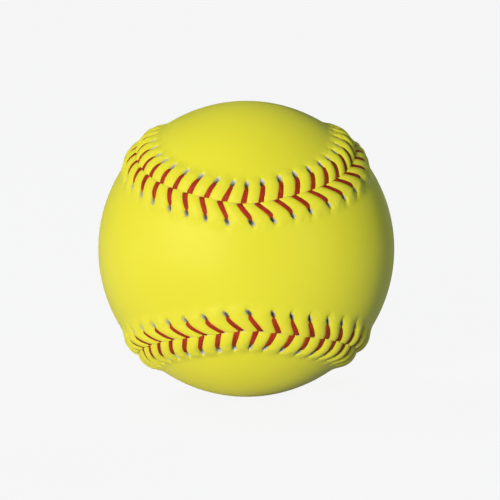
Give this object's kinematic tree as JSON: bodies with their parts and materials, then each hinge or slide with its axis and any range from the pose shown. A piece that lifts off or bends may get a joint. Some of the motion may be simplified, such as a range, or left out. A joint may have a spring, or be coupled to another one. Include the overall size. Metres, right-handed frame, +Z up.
{
  "type": "softball",
  "caption": "Round softball: two leather cover panels over a moulded core, their rolled edges laced together with thread along a curving raised seam.",
  "frame": {"origin": "centre of the ball", "axes": "+Z up; the seam swings between the -Y and +Y poles, cover panel A crosses -Y and faces the viewer, cover panel B crosses +Y; X runs to the viewer's right"},
  "size_m": [0.097, 0.097, 0.097],
  "materials": {
    "core": "moulded polyurethane, matte",
    "cement": "dried latex cement",
    "welt": "soft cotton cord",
    "cover": "bright yellow coated leather, semi-gloss",
    "thread": "waxed red thread"
  },
  "bodies": {
    "root": {"core": "core", "cement_coat_a": "cement", "cement_coat_b": "cement", "seam_welt_a": "welt", "seam_welt_b": "welt", "cover_panel_a": "cover", "cover_panel_b": "cover", "thread_run_one": "thread", "thread_run_two": "thread"}
  },
  "joints": []
}
